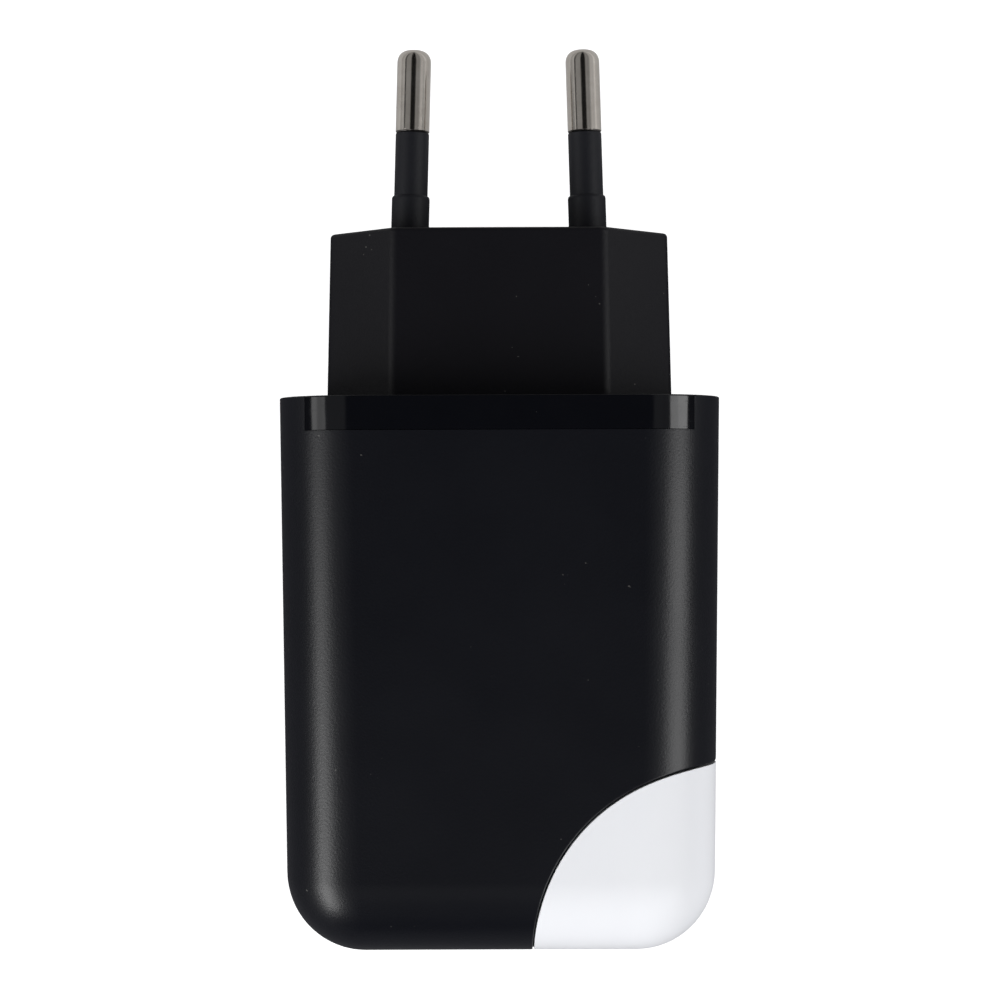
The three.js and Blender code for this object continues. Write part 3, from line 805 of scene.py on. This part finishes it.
for side in (-1, 1):
    hole = COLLAR_R + 0.08
    bore = [(0, -SLEEVE_ROOT - 0.3), (hole, -SLEEVE_ROOT - 0.3), (hole, -0.12), (hole + 0.1, 0),
            (hole + 0.3, 0.2), (0, 0.2)]
    shank = [(0, -PIN_ROOT), (SHANK_R + 0.2, -PIN_ROOT), (SHANK_R + 0.2, -SLEEVE_ROOT),
             (0, -SLEEVE_ROOT)]
    cut(nose, turned("tool", bore, 48, pin_place(side)))
    cut(nose, turned("tool", shank, 24, pin_place(side)))
shade(nose, smooth_below=30)
seat(nose, "charger", NOSE_BLACK, "plug", "plug_block")

# %% [markdown]
# ## Pins and sleeves
#
# Each pin is turned brass with a bright plate and a domed tip. A moulded sleeve covers all but
# that tip, with a thicker collar at its foot, and the metal's own small chamfer catches the
# light where the two meet. A lathe profile says all of this in a dozen points.

# %% Pins
SLEEVE_TOP = PIN_LENGTH - BARE_TIP
dome = [(PIN_R * math.cos(a) ** 0.62, PIN_LENGTH - DOME + DOME * math.sin(a))
        for a in np.linspace(0, math.pi / 2, 18)[:-1]]
pin_profile = [(0, -PIN_ROOT), (SHANK_R, -PIN_ROOT), (SHANK_R, SLEEVE_TOP + 0.03),
               (PIN_R - 0.16, SLEEVE_TOP + 0.03), (PIN_R - 0.1, SLEEVE_TOP + 0.06),
               (PIN_R, SLEEVE_TOP + 0.2)] + dome + [(0, PIN_LENGTH)]
for name, side in (("left", -1), ("right", 1)):
    pin = shade(turned(f"contact_pin_{name}", pin_profile, 96, pin_place(side)), smooth_below=32)
    seat(pin, "charger", NICKEL, "pins", f"pin_{name}")

# %% Sleeves
bore = SHANK_R + 0.05
sleeve_profile = [(bore, -SLEEVE_ROOT), (COLLAR_R, -SLEEVE_ROOT), (COLLAR_R, COLLAR_LENGTH - 0.3),
                  (COLLAR_R - 0.03, COLLAR_LENGTH - 0.12), (COLLAR_R - 0.1, COLLAR_LENGTH - 0.02),
                  (SLEEVE_R + 0.06, COLLAR_LENGTH), (SLEEVE_R, COLLAR_LENGTH + 0.08),
                  (SLEEVE_R, SLEEVE_TOP - 0.12), (SLEEVE_R - 0.03, SLEEVE_TOP - 0.03),
                  (SLEEVE_R - 0.12, SLEEVE_TOP), (bore, SLEEVE_TOP), (bore, -SLEEVE_ROOT)]
for name, side in (("left", -1), ("right", 1)):
    sleeve = turned(f"pin_sleeve_{name}", sleeve_profile, 72, pin_place(side))
    seat(shade(sleeve), "charger", SLEEVE_BLACK, "sleeves", f"sleeve_{name}")

# %% [markdown]
# ## USB ports
#
# Each port is a shell folded from plated sheet, with sprung tabs that grip the plug, round a
# moulded tongue with four contact leaves in its grooves. The shell's mouth is what shows, so
# its lip is rounded ring by ring.

# %% Port shells
SHEET, TAB_X, TAB_HALF = 0.3, (-3.0, 3.0), 0.85
TAB_ROOT, TAB_TIP = MOUTH + 8.1, MOUTH + 3.5


def shell_ring(x, y, shrink, inner=False):
    """One ring of a shell: its outer skin, or its inner one a sheet's thickness in."""
    inset = shrink + (SHEET if inner else 0)
    radius = 0.45 if inner else 0.75
    return at_y(rounded_box(SHELL_HALF_W - inset, SHELL_HALF_H - inset, radius, 6, x), y)


for name, side in (("left", -1), ("right", 1)):
    x = side * PORT_X
    skin = [shell_ring(x, MOUTH + y, shrink) for y, shrink in ((0, 0.12), (0.03, 0.05), (0.1, 0))]
    skin += [shell_ring(x, SHELL_BACK, 0), shell_ring(x, SHELL_BACK, 0, inner=True)]
    skin += [shell_ring(x, MOUTH + y, shrink, inner=True)
             for y, shrink in ((0.3, 0), (0.05, -0.06), (0, -0.12))]
    shell = loft(f"port_shell_{name}", skin, ends=False)
    for dx in TAB_X:
        cut(shell, block("tool", (x + dx - TAB_HALF - 0.25, TAB_TIP - 0.3, -9),
                         (x + dx + TAB_HALF + 0.25, TAB_ROOT - 0.1, 9)))
    seat(shade(shell), "charger", PLATED_SHEET, "shells", f"usb_shell_{name}")

# %% [markdown]
# The four tabs of a shell are bent inwards from slots in its two wide walls. They're one sheet
# with it, but a bent strip is easier as its own small loft.

# %% Gripping tabs
def joined(name, pieces):
    """Several meshes as one object."""
    bm = bmesh.new()
    for piece in pieces:
        bm.from_mesh(piece.data)
        bpy.data.objects.remove(piece, do_unlink=True)
    mesh = bpy.data.meshes.new(name)
    bm.to_mesh(mesh)
    bm.free()
    whole = bpy.data.objects.new(name, mesh)
    bpy.context.scene.collection.objects.link(whole)
    return whole


def strip(name, line, half_width, thickness, x):
    """A flat strip across X that follows (y, z) points."""
    h = thickness / 2
    rings = [[(x - half_width, y, z - h), (x + half_width, y, z - h),
              (x + half_width, y, z + h), (x - half_width, y, z + h)] for y, z in line]
    return loft(name, rings)


wall = SHELL_HALF_H - SHEET / 2
tab_line = [(TAB_ROOT, wall), (TAB_ROOT - 1.2, wall - 0.04), (TAB_ROOT - 2.9, wall - 0.40),
            (TAB_ROOT - 3.5, wall - 0.5), (TAB_ROOT - 4.1, wall - 0.40), (TAB_TIP, wall - 0.05)]
for name, side in (("left", -1), ("right", 1)):
    tabs = [strip("tab", [(y, face * z) for y, z in tab_line], TAB_HALF, 0.25,
                  side * PORT_X + dx) for dx in TAB_X for face in (-1, 1)]
    grips = ease(joined(f"port_grips_{name}", tabs), 0.05, 1)
    seat(shade(grips), "charger", PLATED_SHEET, "shells")

# %% Tongues
tongue_low, tongue_high = node_box("usb_tongue_left")
leaf_high = node_box("contact_left_1")[1]
TONGUE_TIP, BASE_BACK, BASE_FRONT = tongue_low[1], tongue_high[1], leaf_high[1] + 0.3
TONGUE_HALF, TONGUE_Z, TONGUE_T, GROOVE = 5.55, 0.98, 0.92, 0.95
CONTACT_X = (-3.5, -1.0, 1.0, 3.5)
base_half = ((tongue_high[0] - tongue_low[0]) / 2, tongue_high[2])
for name, side in (("left", -1), ("right", 1)):
    x = side * PORT_X
    rings = [at_y(rounded_box(TONGUE_HALF - draw, TONGUE_T - draw, 0.25, 4, x, TONGUE_Z), y)
             for y, draw in ((TONGUE_TIP, 0.3), (TONGUE_TIP + 0.12, 0.12),
                             (TONGUE_TIP + 0.4, 0.0), (BASE_FRONT + 0.5, 0.0))]
    tongue = loft(f"port_tongue_{name}", rings)
    base = [at_y(rounded_box(*base_half, 0.4, 4, x), y) for y in (BASE_FRONT, BASE_BACK)]
    cut(tongue, loft("tool", base), "UNION")
    for dx in CONTACT_X:
        cut(tongue, block("tool", (x + dx - 0.7, TONGUE_TIP + 0.5, -1),
                          (x + dx + 0.7, BASE_FRONT - 0.001, TONGUE_Z - TONGUE_T + GROOVE)))
    ease(tongue, 0.05, 1, sharper_than=60)
    seat(shade(tongue), "charger", TONGUE_BLACK, "tongues", f"usb_tongue_{name}")

# %% [markdown]
# The contact leaves are the only pieces that move: a plug pushes their bellies up into the
# grooves. So each set rides on its port's own body, whose hinge is at the leaves' roots.

# %% Contact leaves
def leaf_drop(t):
    """How far a leaf hangs below its root, from root (0) to curled tip (1)."""
    belly = 0.5 * math.sin(math.pi * (t - 0.55) / 0.45) ** 1.2 if 0.55 < t < 1 else 0.0
    return 0.35 * min(t / 0.55, 1) + belly


for name in ("left", "right"):
    for number in range(1, len(CONTACT_X) + 1):
        low, high = node_box(f"contact_{name}_{number}")
        line = [(high[1] + (low[1] - high[1]) * t, high[2] - 0.1 - leaf_drop(t))
                for t in np.linspace(0, 1, 25)]
        leaf = strip(f"contact_leaf_{name}_{number}", line, 0.5, 0.18, (low[0] + high[0]) / 2)
        ease(leaf, 0.03, 1, sharper_than=60)
        seat(shade(leaf), f"{name}_contacts", GOLD_LEAF, "contacts", f"contact_{name}_{number}")

# %% [markdown]
# ## Electronics
#
# The pieces inside keep their engineering shapes, which are right, and get real finishes. A
# new material goes on the object's own slot, so the mesh is left alone.

# %% Finishes for the engineering nodes that stay
for node_name, node in sorted(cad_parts.items()):
    if node.hide_render:
        continue
    slot_name = node.data.materials[0].name
    node.material_slots[0].link = "OBJECT"
    node.material_slots[0].material = INSIDE[slot_name]
    print(f"{node_name}: {slot_name}")

# %% [markdown]
# ## Floor and sky
#
# The charger lies on a plain white table under a soft studio sky. The table is a matte white
# that also glows towards the camera, which burns it out to clean white as an overexposed
# backdrop would, and leaves only the deepest shadow right under the edges. Seen by the body's
# sides it is darker, so that they stay black. Beside the pins it stays bright and glows a
# little, because bright metal takes its pale rims from the table. The sky is dark straight
# above, where the camera stands in the way of the light.

# %% Floor
REST_HEIGHT, TABLE_HALF = whole_low[2], 4000.0
corners = [(x * TABLE_HALF, y * TABLE_HALF, REST_HEIGHT)
           for x, y in ((-1, -1), (1, -1), (1, 1), (-1, 1))]
floor = closed_mesh("floor", corners, [(0, 1, 2, 3)])
paint = bpy.data.materials.new("white_table")
paint.use_nodes = True
g = Graph(paint.node_tree)
seen = g.node("LightPath", output="Is Camera Ray")
by_pins = g.ramp(g.node("SeparateXYZ", {}, {0: g.place()}, "Y") * 0.05, (0.4, 0.0), (0.6, 1.0))
mirrored = g.mixed(by_pins, (0.14, 0.14, 0.15), (0.5, 0.5, 0.5))
matte = g.node("BsdfDiffuse", {}, {"Color": g.mixed(seen, mirrored, (0.5, 0.5, 0.51))})
strength = seen * 0.85 + (1 - seen) * by_pins * 0.15
glow = g.node("Emission", {}, {"Color": (1, 1, 1, 1), "Strength": strength})
g.node("OutputMaterial", {}, {"Surface": g.node("AddShader", {}, {0: matte, 1: glow})})
floor.data.materials.append(paint)

# %% Sky
world = bpy.data.worlds.new("studio_sky")
world.use_nodes = True
bpy.context.scene.world = world
g = Graph(world.node_tree)
direction = g.node("TexCoord", output="Generated")
x, y, z = (g.node("SeparateXYZ", {}, {0: direction}, axis) for axis in "XYZ")
tilt = g.node("Math", {"operation": "ARCTAN2"}, {0: x, 1: z}) * (1 / math.pi) + 0.5


def sides(*bands):
    """Sky brightness by sideways tilt from straight up, from (degrees, brightness) pairs."""
    return g.ramp(tilt, *((0.5 + angle / 180, shade) for angle, shade in bands))


across = sides((-90, 0.4), (-75, 0.45), (-62, 0.5), (-60, 0.03), (-52, 0.03), (-50, 0.28),
               (-18, 0.28), (-14, 0.01), (14, 0.01), (18, 0.27), (29, 0.27), (31, 0.24),
               (39, 0.24), (43, 0.30), (53, 0.5), (72, 0.5), (90, 0.9))
behind = g.ramp(y * -1, (0.14, 0.0), (0.26, 0.30), (0.48, 0.30), (0.66, 0.05))
above = g.node("Math", {"operation": "MAXIMUM"}, {0: across, 1: behind})
low = g.ramp(z, (0.30, 0.10), (0.42, 1.0))
plugward = g.ramp(y, (0.12, 0.0), (0.15, 1.0))
sky = above * (low + plugward * (1 - low))
seen = g.node("LightPath", output="Is Camera Ray")
lit = g.node("Background", {}, {"Color": g.mixed(seen, sky, (1, 1, 1)), "Strength": 1.0})
g.node("OutputWorld", {}, {"Surface": lit})

# %% [markdown]
# ## Softboxes
#
# Two long softboxes lie along the body, one on each side, and draw the pale stripes down its
# rounded edges. Each is brighter towards its outer side. A softbox is set by the angles from
# straight up between which it is seen, because those angles decide where its stripe falls.

# %% Two softboxes
REACH = 0.70


def softbox(name, side, inner, outer, near, far, radiance):
    """A strip light from y near to far, seen between two angles from straight up, in degrees."""
    middle = math.radians((inner + outer) / 2)
    width = 2 * REACH * math.tan(math.radians((outer - inner) / 2))
    length = near - far
    light = bpy.data.lights.new(name, "AREA")
    light.shape, light.size, light.size_y = "RECTANGLE", width, length
    light.energy = radiance * math.pi * width * length
    lamp = bpy.data.objects.new(name, light)
    lamp.location = (side * REACH * math.sin(middle), (near + far) / 2,
                     REACH * math.cos(middle))
    lamp.rotation_euler = (0, side * middle, 0)
    lamp.visible_camera = False
    bpy.context.scene.collection.objects.link(lamp)
    print(f"{name}: {width * 1000:.0f} x {length * 1000:.0f} mm, {light.energy:.2f} W")


for name, near, far, inner, outer in (("left_near", 0.04, -0.10, 2.0, 2.6),
                                      ("left_middle", -0.10, -0.17, 3.2, 4.3),
                                      ("left_far", -0.17, -0.80, 7.9, 12.0)):
    softbox(name + "_inner", -1, 46.5, 59, near, far, inner)
    softbox(name + "_outer", -1, 59, 68.5, near, far, outer)
softbox("right_inner", 1, 41, 53, 0.015, -0.80, 4.6)
softbox("right_outer", 1, 53, 69, 0.015, -0.80, 5.6)

# %% [markdown]
# ## Camera
#
# The camera looks straight down from about a forearm's length, with the plug upwards. Its lens
# is a short telephoto, which keeps the body's sides nearly parallel. The view transform is the
# plain one, so that white plastic comes out white.

# %% Camera
camera = bpy.data.objects.new("camera", bpy.data.cameras.new("camera"))
camera.data.sensor_width, camera.data.lens = 36.0, 81.97
camera.data.clip_start = 0.01
camera.location = (0.00002, -0.02777, 0.23805)
camera.rotation_euler = (0, 0, -0.0035)
bpy.context.scene.collection.objects.link(camera)
bpy.context.scene.camera = camera
bpy.context.scene.view_settings.view_transform = "Standard"

print("cad box", np.round(np.array(cad_box) / MM, 2).tolist())
